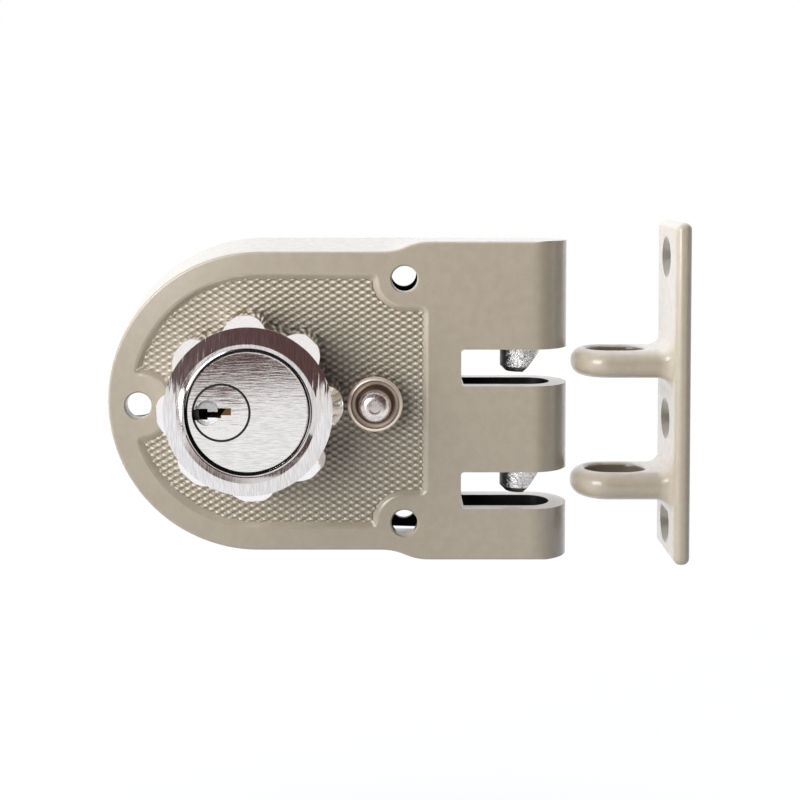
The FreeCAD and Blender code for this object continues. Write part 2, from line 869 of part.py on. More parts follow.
def blade_slot(y):
    """Slot for the tailpiece, opened so that the bolts can lift the hub round a still blade."""
    turn = math.degrees(bolt_travel / gear_pitch_radius)
    half_x = tail_thickness / 2 + tail_slot_clearance
    half_z = tail_width / 2 + tail_slot_clearance
    radius = math.hypot(half_x, half_z)
    centre = Vec(plug_x, y[0], 0)
    slot = box((plug_x - half_x, plug_x + half_x), y, (-half_z, half_z))
    turned = slot.copy()
    turned.rotate(centre, AXIS_Y, turn)
    slot = slot.fuse(turned)
    for angle in (90, 270):
        start = polar((plug_x, 0), radius, angle - turn, y[0])
        middle = polar((plug_x, 0), radius, angle - turn / 2, y[0])
        end = polar((plug_x, 0), radius, angle, y[0])
        edges = [line(centre, start), arc(start, middle, end), line(end, centre)]
        slot = slot.fuse(Part.Face(Part.Wire(edges)).extrude(Vec(0, y[1] - y[0], 0)))
    return slot.removeSplitter()


def make_hub():
    """Pinion hub: journal in the back plate's bush, gear, front collar and boss, blade slot."""
    flange_y = plate_inner - bush_flange_thickness
    gear_rear = flange_y - rack_clearance
    gear_front = carrier_front - rack_clearance
    collar_front = gear_front - hub_collar_thickness
    boss_front = plug_rear + tail_base_thickness + hub_end_clearance
    body = Part.Face(gear_wire(gear_front)).extrude(Vec(0, gear_rear - gear_front, 0))
    body = body.fuse(rod_y(plug_x, 0, hub_journal_radius, (gear_rear, -hub_end_clearance)))
    body = body.fuse(rod_y(plug_x, 0, hub_collar_radius, (gear_front, collar_front)))
    body = body.fuse(rod_y(plug_x, 0, hub_boss_radius, (collar_front, boss_front)))
    return body.cut(blade_slot((boss_front - OVERCUT, OVERCUT)))


def make_hub_bush():
    """Flanged bush in the back plate, where the hub's journal turns."""
    bore = hub_journal_radius + running_clearance
    flange_y = plate_inner - bush_flange_thickness
    profile = [
        (bore, 0),
        (bush_outer(), 0),
        (bush_outer(), plate_inner),
        (bush_flange_radius, plate_inner),
        (bush_flange_radius, flange_y),
        (bore, flange_y),
    ]
    return turned_y(plug_x, 0, profile)


def rack_profile():
    """Points of the rack's teeth down the left edge of the carrier, from top to bottom."""
    pitch = math.pi * gear_module
    slope = math.tan(math.radians(gear_pressure_angle))
    tip_x = rack_pitch_x - gear_addendum * gear_module
    root_x = rack_pitch_x + gear_dedendum * gear_module
    half = (pitch / 2 - gear_backlash) / 2
    half_tip = half - gear_addendum * gear_module * slope
    half_root = half + gear_dedendum * gear_module * slope
    reach = math.ceil((bolt_travel + gear_pitch_radius / 2) / pitch)
    points = []
    for tooth in range(reach, -reach - 1, -1):
        z = tooth * pitch
        points += [(root_x, z + half_root), (tip_x, z + half_tip)]
        points += [(tip_x, z - half_tip), (root_x, z - half_root)]
    return points


def arm_rows():
    """Height range of each arm: the middle of its bolt's upper part."""
    tops = [tip + bolt_length - bolt_end_clearance for tip in (upper_tip, lower_tip)]
    return [(top - arm_height, top) for top in tops]


def make_carrier():
    """Slide plate with rack, guide slots and spring pockets, a spine and two arms."""
    y = carrier_front
    root_x = rack_pitch_x + gear_dedendum * gear_module
    corners = [(root_x, carrier_half_height)] + rack_profile() + [(root_x, -carrier_half_height)]
    corners += [(spine_right, -carrier_half_height), (spine_right, carrier_half_height)]
    points = [Vec(px, y, pz) for px, pz in corners]
    plate = Part.Face(Part.makePolygon(points + [points[0]])).extrude(Vec(0, carrier_thickness, 0))
    span = (carrier_front - OVERCUT, carrier_rear + OVERCUT)
    slot_radius = guide_radius + guide_clearance
    for sign in (-1, 1):
        low = sign * guide_z - bolt_travel
        high = sign * guide_z - guide_clearance
        plate = plate.cut(rod_y(guide_x, low, slot_radius, span))
        plate = plate.cut(rod_y(guide_x, high, slot_radius, span))
        plate = plate.cut(box((guide_x - slot_radius, guide_x + slot_radius), span, (low, high)))
    half = spring_pocket_width / 2
    for x in bolt_spring_x:
        pocket = (spring_pocket_floor, carrier_half_height + OVERCUT)
        plate = plate.cut(box((x - half, x + half), span, pocket))
    rows = arm_rows()
    spine_front = carrier_rear - spine_depth
    spine = box((spine_left, spine_right), (spine_front, carrier_rear), (rows[1][0], rows[0][1]))
    body = plate.fuse(spine)
    arm_y = (bolt_y - arm_thickness / 2, bolt_y + arm_thickness / 2)
    for z in rows:
        body = body.fuse(box((spine_right, bolt_x + arm_reach), arm_y, z))
        body = body.cut(rod_y(bolt_x, sum(z) / 2, rivet_radius, (case_front, 0)))
    return body.removeSplitter()


def make_bolt(tip, row):
    """Round bolt: bevelled towards the strike, chamfered nose, slot for its arm, rivet hole."""
    body = rod_z(bolt_x, bolt_y, bolt_radius, (tip, tip + bolt_length))
    rims = [edge for edge in body.Edges if edge.BoundBox.ZMax < tip + TOLERANCE]
    body = body.makeChamfer(bolt_nose_chamfer, rims)
    right = bolt_x + bolt_radius
    front = bolt_y - bolt_radius - OVERCUT
    rise = OVERCUT * bolt_bevel_height / bolt_bevel
    corners = [
        Vec(right - bolt_bevel - OVERCUT, front, tip - rise),
        Vec(right + OVERCUT, front, tip - rise),
        Vec(right + OVERCUT, front, tip + bolt_bevel_height + rise),
    ]
    wedge = Part.Face(Part.makePolygon(corners + [corners[0]]))
    body = body.cut(wedge.extrude(Vec(0, 2 * (bolt_radius + OVERCUT), 0)))
    half = arm_thickness / 2 + arm_fit
    slot_x = (bolt_x - bolt_radius - OVERCUT, bolt_x + arm_reach + arm_fit)
    slot = box(slot_x, (bolt_y - half, bolt_y + half), (row[0] - arm_fit, row[1] + arm_fit))
    return body.cut(slot).cut(rod_y(bolt_x, sum(row) / 2, rivet_radius, (case_front, 0)))


def make_bolt_rivets():
    """Cross rivets that hold the bolts on the arms."""
    reach = math.sqrt(bolt_radius**2 - rivet_radius**2)
    ends = (bolt_y - reach, bolt_y + reach)
    return [rod_y(bolt_x, sum(row) / 2, rivet_radius, ends) for row in arm_rows()]


def make_guide_posts():
    """Two shouldered posts riveted in the back plate, which the slide plate runs on."""
    shoulder = carrier_rear + guide_end_play
    head_rear = carrier_front - guide_end_play
    profile = [
        (0, 0),
        (guide_tenon_radius, 0),
        (guide_tenon_radius, plate_inner),
        (guide_shoulder_radius, plate_inner),
        (guide_shoulder_radius, shoulder),
        (guide_radius, shoulder),
        (guide_radius, head_rear),
        (guide_head_radius, head_rear),
        (guide_head_radius, head_rear - guide_head_thickness),
        (0, head_rear - guide_head_thickness),
    ]
    return [turned_y(guide_x, sign * guide_z, profile) for sign in (-1, 1)]


def make_bolt_springs():
    """Two compression springs between the slide plate's pockets and the rib above."""
    centre_y = carrier_rear - carrier_thickness / 2
    springs = []
    for x in bolt_spring_x:
        height = spring_rib_z - spring_pocket_floor
        coil = swept_coil(bolt_spring_radius, bolt_spring_wire, height, bolt_spring_turns)
        coil.translate(Vec(x, centre_y, spring_pocket_floor))
        springs.append(coil)
    return springs


def make_clamp():
    """Clamp plate behind the cylinder, resting on two posts of the case."""
    y = (clamp_front, clamp_rear)
    plate = box((clamp_left, clamp_right), y, (-clamp_half_height, clamp_half_height))
    corners = [edge for edge in plate.Edges if edge.BoundBox.YLength > clamp_thickness / 2]
    plate = plate.makeFillet(plate_post_radius, corners)
    span = (clamp_front - OVERCUT, clamp_rear + OVERCUT)
    plate = plate.cut(rod_y(plug_x, 0, clip_radius + clamp_hole_clearance, span))
    for sign in (-1, 1):
        hole = clamp_screw_radius + screw_hole_clearance
        plate = plate.cut(rod_y(clamp_screw_x, sign * clamp_screw_z, hole, span))
    return plate


def make_cylinder_screws():
    """Two cheese-head screws through the clamp plate into the cylinder."""
    head = clamp_rear + clamp_screw_head_height
    tip = shell_rear - clamp_screw_hole + screw_point_gap
    profile = [
        (0, head),
        (clamp_screw_head_radius, head),
        (clamp_screw_head_radius, clamp_rear),
        (clamp_screw_radius, clamp_rear),
        (clamp_screw_radius, tip),
        (0, tip),
    ]
    slot = (head - clamp_screw_head_height / 2, head + OVERCUT)
    screws = []
    for sign in (-1, 1):
        screw = turned_y(clamp_screw_x, sign * clamp_screw_z, profile)
        across = (clamp_screw_x - clamp_screw_head_radius, clamp_screw_x + clamp_screw_head_radius)
        middle = sign * clamp_screw_z
        kerf = (middle - clamp_screw_slot / 2, middle + clamp_screw_slot / 2)
        screws.append(screw.cut(box(across, slot, kerf)))
    return screws


def make_button():
    """Hat-shaped push button: rolled rim, dished brow, domed boss with a dimple, skirt and stem."""
    flange_front = case_front - button_flange_height
    top = case_front - button_top
    corner = button_edge_round
    dome_width = button_boss_radius - button_dimple_radius
    profile = [
        (0, button_tip),
        (button_stem_radius, button_tip),
        (button_stem_radius, skirt_end),
        (button_skirt_radius, skirt_end),
        (button_skirt_radius, flange_under),
        (button_flange_radius - corner, flange_under),
        (
            button_flange_radius - corner,
            flange_front,
            button_flange_radius,
            (flange_under + flange_front) / 2,
        ),
        (
            button_boss_base,
            flange_front,
            (button_flange_radius - corner + button_boss_base) / 2,
            flange_front + button_dish_depth,
        ),
        (button_boss_radius, top + button_dome_height),
        (
            button_dimple_radius,
            top,
            button_dimple_radius + dome_width * math.sqrt(0.5),
            top + button_dome_height * (1 - math.sqrt(0.5)),
        ),
        (button_dimple_radius - button_dimple_depth, top + button_dimple_depth),
        (0, top + button_dimple_depth),
    ]
    return turned_y(button_x, 0, profile)


def make_button_ferrule():
    """Flanged ferrule in the case front: a pocket for the skirt and spring, a bore for the stem."""
    bore = button_stem_radius + running_clearance
    pocket = button_skirt_radius + ferrule_pocket_clearance
    profile = [
        (pocket, ferrule_front),
        (ferrule_flange_radius, ferrule_front),
        (ferrule_flange_radius, panel_floor),
        (ferrule_radius, panel_floor),
        (ferrule_radius, ferrule_inner),
        (bore, ferrule_inner),
        (bore, pocket_floor),
        (pocket, pocket_floor),
    ]
    return turned_y(button_x, 0, profile)


def make_button_spring():
    """Return spring in the ferrule's pocket, under the button's skirt."""
    height = pocket_floor - skirt_end
    radius = (button_stem_radius + button_skirt_radius) / 2
    coil = swept_coil(radius, button_spring_wire, height, button_spring_turns)
    coil.rotate(Vec(0, 0, 0), AXIS_X, 90)
    coil.translate(Vec(button_x, pocket_floor, 0))
    return coil


def make_button_clip():
    """Retaining ring on the stem, against the inner end of the ferrule."""
    front = ferrule_inner + clip_clearance
    ring = rod_y(button_x, 0, button_clip_radius, (front, front + button_clip_thickness))
    return ring.cut(rod_y(button_x, 0, button_stem_radius, (front - OVERCUT, 0)))


def make_strike_ring(z_middle):
    """One rounded ring of the strike, without its flared root."""
    half = strike_ring_height / 2
    z = (z_middle - half, z_middle + half)
    y = bolt_y
    reach = strike_face_x + strike_root_overlap
    radius = strike_ring_depth / 2
    centre = strike_nose_x + radius
    left = rod_z(centre, y, radius, z)
    body = left.fuse(box((centre, reach), (y - radius, y + radius), z)).removeSplitter()
    rims = [
        edge
        for edge in body.Edges
        if edge.BoundBox.ZLength < TOLERANCE and edge.BoundBox.XMin < reach - TOLERANCE
    ]
    body = body.makeFillet(strike_ring_round, rims)
    slot_radius = strike_slot_width / 2
    first = strike_nose_x + (strike_ring_depth - strike_slot_width) / 2 + slot_radius
    last = first + strike_slot_length - strike_slot_width
    through = (z[0] - OVERCUT, z[1] + OVERCUT)
    slot = box((first, last), (y - slot_radius, y + slot_radius), through)
    for x in (first, last):
        slot = slot.fuse(rod_z(x, y, slot_radius, through))
    body = body.cut(slot.removeSplitter())
    mouth = [
        edge
        for edge in body.Edges
        if edge.BoundBox.ZLength < TOLERANCE
        and edge.BoundBox.YMin > y - slot_radius - TOLERANCE
        and edge.BoundBox.YMax < y + slot_radius + TOLERANCE
        and edge.BoundBox.XMax < strike_face_x
    ]
    return body.makeFillet(strike_slot_round, mouth)


def rounded_section(x, y, z, radius):
    """Wire at x: a rectangle between the values of y and z with rounded corners."""
    inner_y = (y[0] + radius, y[1] - radius)
    inner_z = (z[0] + radius, z[1] - radius)
    tilt = radius * math.sqrt(0.5)
    corners = [
        ((1, -1), inner_y[1], inner_z[0]),
        ((1, 1), inner_y[1], inner_z[1]),
        ((-1, 1), inner_y[0], inner_z[1]),
        ((-1, -1), inner_y[0], inner_z[0]),
    ]
    arcs = []
    for index, ((side, up), cy, cz) in enumerate(corners):
        flat = Vec(x, cy + side * radius, cz)
        level = Vec(x, cy, cz + up * radius)
        start, end = (level, flat) if index % 2 == 0 else (flat, level)
        arcs.append((start, Vec(x, cy + side * tilt, cz + up * tilt), end))
    edges = []
    for index, (start, middle, end) in enumerate(arcs):
        edges.append(arc(start, middle, end))
        edges.append(line(end, arcs[(index + 1) % len(arcs)][0]))
    return Part.Wire(edges)


def strike_root(z_middle):
    """Flare where a ring runs into the plate, widening along a hollow curve on every side."""
    half_y = strike_ring_depth / 2 - strike_root_inset
    half_z = strike_ring_height / 2 - strike_root_inset
    sections = []
    for step in range(strike_root_steps + 1):
        angle = math.pi / 2 * step / strike_root_steps
        grow = 1 - math.cos(angle)
        x = strike_face_x - strike_root_length * (1 - math.sin(angle))
        front = bolt_y - half_y - strike_root_front * grow
        back = bolt_y + half_y + strike_root_back * grow
        rise = half_z + strike_root_rise * grow
        z = (z_middle - rise, z_middle + rise)
        sections.append(rounded_section(x, (front, back), z, strike_root_round))
    end = strike_face_x + strike_root_overlap
    sections.append(rounded_section(end, (front, back), z, strike_root_round))
    return lofted(sections)


def make_strike():
    """Strike: a countersunk plate with two rings for the bolts."""
    plate = box(
        (strike_face_x, strike_back_x), (-strike_depth, 0), (strike_bottom, strike_top)
    )
    soft = [
        edge
        for edge in plate.Edges
        if edge.BoundBox.YMax < TOLERANCE - strike_depth
        or edge.BoundBox.YLength > strike_depth / 2
    ]
    body = plate.makeFillet(strike_edge_radius, soft)
    for z in strike_ring_z:
        body = body.fuse(make_strike_ring(z)).fuse(strike_root(z))
    for z in strike_hole_z:
        through = (strike_face_x - OVERCUT, strike_back_x + OVERCUT)
        hole = rod_x(bolt_y, z, strike_hole_radius, through)
        cone = Part.makeCone(
            strike_sink_radius,
            strike_hole_radius,
            strike_sink_depth,
            Vec(strike_face_x, bolt_y, z),
            AXIS_X,
        )
        body = body.cut(hole).cut(cone)
    return body.removeSplitter()


def save(name, shape):
    """Write one sub-part, alone or as a group of solids."""
    if isinstance(shape, list):
        shape = Part.makeCompound(shape)
    shape.exportStep(os.path.join("parts", name + ".step"))


def main():
    """Build every sub-part and write its file."""
    os.makedirs("parts", exist_ok=True)
    rows = arm_rows()
    key_pins, drivers, driver_springs, caps = make_pin_stacks()
    pieces = {
        "case": make_case(),
        "back_plate": make_back_plate(),
        "back_plate_screws": make_plate_screws(),
        "lobed_collar": make_lobed_collar(),
        "collar_ring": make_collar_ring(),
        "cylinder_shell": make_cylinder_shell(),
        "cylinder_plug": make_plug(),
        "plug_clip": make_plug_clip(),
        "key_pins": key_pins,
        "driver_pins": drivers,
        "driver_springs": driver_springs,
        "chamber_plugs": caps,
        "tailpiece": make_tailpiece(),
        "cylinder_clamp": make_clamp(),
        "cylinder_screws": make_cylinder_screws(),
        "hub_pinion": make_hub(),
        "hub_bush": make_hub_bush(),
        "bolt_carrier": make_carrier(),
        "upper_bolt": make_bolt(upper_tip, rows[0]),
        "lower_bolt": make_bolt(lower_tip, rows[1]),
        "bolt_rivets": make_bolt_rivets(),
        "guide_posts": make_guide_posts(),
        "bolt_springs": make_bolt_springs(),
        "hold_button": make_button(),
        "button_ferrule": make_button_ferrule(),
        "button_spring": make_button_spring(),
        "button_clip": make_button_clip(),
        "strike": make_strike(),
    }
    for name, shape in pieces.items():
        save(name, shape)


main()
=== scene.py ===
"""Looks for the interlocking rim lock and its strike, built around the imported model.

Frame: metres, +Z up, -Y into the room, +X towards the strike. Values named _mm are millimetres.
"""
import math

import bmesh
import bpy
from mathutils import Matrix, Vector


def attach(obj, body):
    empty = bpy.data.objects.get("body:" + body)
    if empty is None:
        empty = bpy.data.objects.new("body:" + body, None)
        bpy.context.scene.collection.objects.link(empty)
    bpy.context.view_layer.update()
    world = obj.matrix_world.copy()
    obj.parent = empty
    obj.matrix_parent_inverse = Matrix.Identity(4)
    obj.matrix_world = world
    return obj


MM = 0.001
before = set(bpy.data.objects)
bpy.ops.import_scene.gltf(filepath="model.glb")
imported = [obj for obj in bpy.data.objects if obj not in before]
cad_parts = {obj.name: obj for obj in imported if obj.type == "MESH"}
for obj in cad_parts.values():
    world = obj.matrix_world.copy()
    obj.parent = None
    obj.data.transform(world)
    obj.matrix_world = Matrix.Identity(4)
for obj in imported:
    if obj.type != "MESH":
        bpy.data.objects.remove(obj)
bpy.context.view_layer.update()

# Camera: where the photograph was taken from
picture_px = 800
focal_px = 1343.0
eye_mm = (36.3, -391.0, 62.7)
vanishing_px = (389.0, 175.0)
pitch_deg = 2.2
sensor_mm = 36.0

# Case values that the added pieces follow
panel_floor_mm = -19.8
panel_radius_mm = 33.6
panel_right_mm = 45.3
panel_corner_z_mm = 24.8
left_hole_mm = (-33.2, -1.2)
left_notch_mm = 10.4
right_holes_mm = ((40.6, 34.0), (40.6, -34.0))
right_notch_mm = 9.2
cylinder_x_mm = -1.1
seat_radius_mm = 20.5
button_x_mm = 32.5
ferrule_radius_mm = 7.2
finger_bore_mm = (75.5, -10.5)
finger_bore_radius_mm = 6.34
finger_bore_start_mm = 50.0
case_roof_mm = 41.0

# Cylinder and its ring: where the face and the head's side start, the radius and the shift of
# the black painted shade in the groove, the lip's radius, and how far the ring's streaks lean, in
# radians
face_y_mm = -38.8
head_side_start_mm = 1.4
ring_groove_shade_mm = 16.6
groove_shade_shift_mm = (-0.15, -0.2)
ring_lip_mm = 18.7
ring_lean = 0.17

# Plug: its place and its rim line of painted shade, how far its face leans, and the parts sunk
# into it, with painted shade deep in the keyway and a painted highlight low in the dimple
plug_x_mm = -8.0
plug_rim_shade_mm = 7.17
plug_lean = 0.005
sunk_depth_mm = 0.03
keyway_shade_depth_mm = 0.9
keyway_brass_x_mm = -8.6
dimple_x_mm = -11.4
dimple_radius_mm = 3.4
dimple_highlight_z_mm = (0.2, -0.4)

# Button: radii of its boss and of the valley around it, painted brown as shade, with their soft
# edges
button_boss_mm = 4.3
button_boss_fade_mm = (-0.4, 0.2)
button_brow_mm = 5.9
button_brow_start_mm = 0.6
button_brow_fade_mm = 0.7
button_boss_top_mm = -28.6

# Strike and bolts: plate, countersinks and ring eyes, and the bolts' flank away from the strike,
# where painted shade makes the flecks denser
strike_face_x_mm = 115.0
strike_thickness_mm = 4.5
strike_skin_mm = 0.1
strike_hole_z_mm = (39.5, -6.6, -36.3)
strike_sink_mm = 5.95
strike_slot_x_mm = (98.2, 103.2)
strike_slot_radius_mm = 6.1
bolt_axis_y_mm = -10.5
bolt_shade_flank_x_mm = (68.0, 71.5)

# Light: soft lobes for matt surfaces, each with its bearing, height, strength and colour; a
# white hall with a dark warm room ahead for gloss
even_least = 0.06
even_lobes = (
    (-60.0, 10.0, 6.3, (1.0, 1.0, 1.0)),
    (-45.0, -42.0, 4.3, (0.96, 1.02, 1.0)),
    (-140.0, 60.0, 7.6, (0.86, 1.0, 1.34)),
    (140.0, 10.0, 2.6, (1.0, 1.0, 1.0)),
)
even_lobe_power = 6.0
hall_colour = (0.94, 0.935, 0.93)
side_colour = (0.20, 0.19, 0.18)
room_colour = (0.12, 0.069, 0.065)
room_height = 0.265
room_tilt = (0.09, 0.415)
room_edge = 0.008
room_ahead = (-0.06, -0.10)
side_right = (0.2, 0.6)
side_ahead = (-0.35, -0.5)
white = (1.0, 1.0, 1.0)
glint_spot_mm = (-155.0, -320.0, 95.0)
glint_aim_mm = (60.0, -20.0, 0.0)
glint_size_mm = 200.0
glint_power = 0.85

# Floor: its size and height in metres, its colour in plain and in bounced light, and how far it
# shows as white
floor_half = 3.0
floor_front = -0.30
floor_level = -0.11
floor_colour = (0.5, 0.5, 0.5)
floor_bounce_colour = (0.1, 0.1, 0.1)
floor_whiteness = 0.88

# Finishes
lacquer_colour = (0.418, 0.352, 0.262)
lacquer_cloud = 0.03
lacquer_roughness = (0.30, 0.42)
# Studs: painted shade in the grooves, painted highlight on the tops
stud_shade_colour = (0.25, 0.195, 0.125)
stud_highlight_colour = (0.72, 0.655, 0.515)
stud_shade_start = 0.12
sink_metal = (0.26, 0.245, 0.20)
# Painted shade in the strike rings' eyes
slot_shade_brown = (0.17, 0.135, 0.09)
ring_metal = (0.84, 0.81, 0.80)
face_metal = (0.93, 0.915, 0.91)
face_brushing = (0.16, 1.0, 1.8)
lobe_metal = (0.92, 0.89, 0.885)
# Dimple in the plug: painted shade grey, and a painted highlight white on its lower part
dimple_shade_grey = (0.46, 0.45, 0.445)
dimple_highlight_white = (0.88, 0.88, 0.88)
keyway_brass = (0.21, 0.125, 0.06)
# Painted light: the glow of the brass deep in the keyway
keyway_painted_glow = (0.10, 0.055, 0.025)
button_metal = (0.82, 0.76, 0.73)
# Button: painted sheen in cream on the brow, painted shade in brown in the valley
button_brow_sheen = (0.90, 0.79, 0.67)
button_valley_shade = (0.13, 0.09, 0.07)
bolt_metal = (0.92, 0.92, 0.92)
# Bolts: dark flecks of grain, with painted shade making them denser on the flank
bolt_fleck_colour = (0.07, 0.07, 0.075)
bolt_fleck_limits = (0.54, 0.62)
bolt_flank_shade_flecks = 0.22
# Black and its roughness for painted shade: inside the fingers, in the ring's groove, on the head's
# side, deep in the keyway and as the plug's rim line
black = (0.012, 0.010, 0.010)
black_roughness = 0.6

# Grain: the noise levels between which a mask or a colour fades, how much finer and weaker the
# second scratches are, how much larger and darker blotches are, and how far roughness spreads
noise_narrow = (0.35, 0.65)
noise_wide = (0.3, 0.7)
noise_scratch = (0.35, 0.7)
fine_scratch_rate = 2.3
fine_scratch_share = 0.4
blotch_rate = 0.3
blotch_shade = 0.7
roughness_spread = (0.8, 1.3)

# Plain grained metals, and the nodes that wear them
plain_metals = {
    "nickel": {
        "colour": (0.60, 0.55, 0.52),
        "roughness": 0.2,
        "scale": 1.0,
        "depth_mm": 0.02,
        "strength": 0.3,
    },
    "zinc_steel": {
        "colour": (0.56, 0.56, 0.57),
        "roughness": 0.34,
        "scale": 1.6,
        "depth_mm": 0.05,
        "strength": 0.6,
    },
    "spring_steel": {
        "colour": (0.5, 0.5, 0.52),
        "roughness": 0.3,
        "scale": 2.0,
        "depth_mm": 0.02,
        "strength": 0.3,
    },
    "brass": {
        "colour": (0.72, 0.52, 0.25),
        "roughness": 0.3,
        "scale": 1.5,
        "depth_mm": 0.03,
        "strength": 0.3,
    },
    "black_steel": {
        "colour": (0.03, 0.03, 0.032),
        "roughness": 0.45,
        "scale": 1.0,
        "depth_mm": 0.05,
        "strength": 0.4,
    },
}
plain_metal_nodes = {
    "nickel": ("button_ferrule",),
    "zinc_steel": (
        "bolt_carrier",
        "hub_pinion",
        "tailpiece",
        "cylinder_clamp",
        "cylinder_screws",
        "back_plate_screws",
    ),
    "spring_steel": (
        "plug_clip",
        "driver_springs",
        "bolt_rivets",
        "guide_posts",
        "bolt_springs",
        "button_spring",
        "button_clip",
    ),
    "brass": ("key_pins", "driver_pins", "chamber_plugs", "hub_bush"),
    "black_steel": ("back_plate",),
}

# Raised pattern on the panel
stud_width_mm = 3.26
stud_height_mm = 1.89
stud_rise_mm = 0.6
stud_base_mm = 0.05
stud_point = 1.5
stud_steps = 8
sheet_overlap_mm = 0.4
sheet_reach_mm = 1.0
sheet_thickness_mm = 0.8


def node_of(tree, kind, **values):
    """New shader node; each value goes to the input of that name, or else to the property."""
    node = tree.nodes.new(kind)
    for key, value in values.items():
        name = key.replace("_", " ")
        if name in node.inputs:
            node.inputs[name].default_value = value
        else:
            setattr(node, key, value)
    return node


def math_of(tree, operation, first, second=None, third=None):
    """Math node; each operand is a socket or a number."""
    node = node_of(tree, "ShaderNodeMath", operation=operation)
    for index, value in enumerate((first, second, third)):
        if value is None:
            continue
        if isinstance(value, (int, float)):
            node.inputs[index].default_value = value
        else:
            tree.links.new(value, node.inputs[index])
    return node.outputs[0]


def ramp_of(tree, value, low, high, start=0.0, end=1.0, smooth=True):
    """Value mapped from low..high to start..end, clamped."""
    node = node_of(tree, "ShaderNodeMapRange")
    node.interpolation_type = "SMOOTHSTEP" if smooth else "LINEAR"
    tree.links.new(value, node.inputs[0])
    for index, number in enumerate((low, high, start, end), 1):
        node.inputs[index].default_value = number
    return node.outputs[0]


def mix_of(tree, factor, first, second):
    """Colour mixed from two colours or sockets."""
    node = node_of(tree, "ShaderNodeMix", data_type="RGBA")
    for index, value in ((0, factor), (6, first), (7, second)):
        if isinstance(value, bpy.types.NodeSocket):
            tree.links.new(value, node.inputs[index])
        elif index:
            node.inputs[index].default_value = (*value, 1.0)
        else:
            node.inputs[index].default_value = value
    return node.outputs[2]


def place_of(tree, stretch=(1.0, 1.0, 1.0)):
    """Position on the object in millimetres, stretched per axis."""
    spot = tree.nodes.new("ShaderNodeTexCoord")
    scale = tuple(value / MM for value in stretch)
    mapping = node_of(tree, "ShaderNodeMapping", Scale=scale)
    tree.links.new(spot.outputs["Object"], mapping.inputs["Vector"])
    return mapping.outputs[0]


def noise_of(tree, place, scale, detail=2.0, roughness=0.5, distortion=0.0):
    """Noise value at a position."""
    node = node_of(
        tree,
        "ShaderNodeTexNoise",
        Scale=scale,
        Detail=detail,
        Roughness=roughness,
        Distortion=distortion,
    )
    tree.links.new(place, node.inputs["Vector"])
    return node.outputs[0]


def bump_of(tree, shader, height, distance_mm, strength=1.0):
    """Bump from a height socket, into the shader's normal."""
    node = node_of(tree, "ShaderNodeBump", Strength=strength, Distance=distance_mm * MM)
    tree.links.new(height, node.inputs["Height"])
    tree.links.new(node.outputs[0], shader.inputs["Normal"])


def material_of(name, colour, metallic=0.0, roughness=0.4, **more):
    """New material with a Principled shader."""
    material = bpy.data.materials.new(name)
    material.use_nodes = True
    tree = material.node_tree
    shader = tree.nodes["Principled BSDF"]
    shader.inputs["Base Color"].default_value = (*colour, 1.0)
    shader.inputs["Metallic"].default_value = metallic
    shader.inputs["Roughness"].default_value = roughness
    for key, value in more.items():
        shader.inputs[key.replace("_", " ")].default_value = value
    return material, tree, shader


def paint(name):
    """Champagne lacquer on a casting: faint cloudiness, orange peel, satin gloss."""
    material, tree, shader = material_of(
        name, lacquer_colour, Coat_Weight=1.0, Coat_Roughness=0.18
    )
    place = place_of(tree)
    cloud = noise_of(tree, place, scale=0.35, detail=4.0, roughness=0.6)
    light = tuple(value * (1 + lacquer_cloud) for value in lacquer_colour)
    dark = tuple(value * (1 - lacquer_cloud) for value in lacquer_colour)
    colour = mix_of(tree, ramp_of(tree, cloud, *noise_narrow), dark, light)
    tree.links.new(colour, shader.inputs["Base Color"])
    gloss = noise_of(tree, place, scale=0.5, detail=3.0)
    roughness = ramp_of(tree, gloss, *noise_wide, *lacquer_roughness)
    tree.links.new(roughness, shader.inputs["Roughness"])
    peel = noise_of(tree, place, scale=1.1, detail=3.0, roughness=0.6)
    bump_of(tree, shader, peel, distance_mm=0.05, strength=0.35)
    return material, tree, shader


def parts_of(tree):
    """Sockets of the x, y and z position on the object, in millimetres."""
    parts = tree.nodes.new("ShaderNodeSeparateXYZ")
    tree.links.new(place_of(tree), parts.inputs[0])
    return parts.outputs


def reach_of(tree, first, first_centre, second, second_centre):
    """Distance from an axis, from two position sockets and the axis's place on each."""
    squares = []
    for socket, centre in ((first, first_centre), (second, second_centre)):
        offset = math_of(tree, "SUBTRACT", socket, centre)
        squares.append(math_of(tree, "MULTIPLY", offset, offset))
    return math_of(tree, "SQRT", math_of(tree, "ADD", *squares))


def both(tree, *masks):
    """Product of several masks."""
    result = masks[0]
    for mask in masks[1:]:
        result = math_of(tree, "MULTIPLY", result, mask)
    return result


def coat(tree, shader, mask, colour, roughness=None, metallic=None):
    """Lay a colour, and if asked a roughness and metalness, over the masked part of a surface."""
    for name, value in (("Base Color", colour), ("Roughness", roughness), ("Metallic", metallic)):
        if value is None:
            continue
        socket = shader.inputs[name]
        if name == "Base Color":
            under = socket.links[0].from_socket if socket.is_linked else socket.default_value[:3]
            tree.links.new(mix_of(tree, mask, under, value), socket)
            continue
        node = node_of(tree, "ShaderNodeMix", data_type="FLOAT")
        tree.links.new(mask, node.inputs[0])
        if socket.is_linked:
            tree.links.new(socket.links[0].from_socket, node.inputs[2])
        else:
            node.inputs[2].default_value = socket.default_value
        node.inputs[3].default_value = value
        tree.links.new(node.outputs[0], socket)


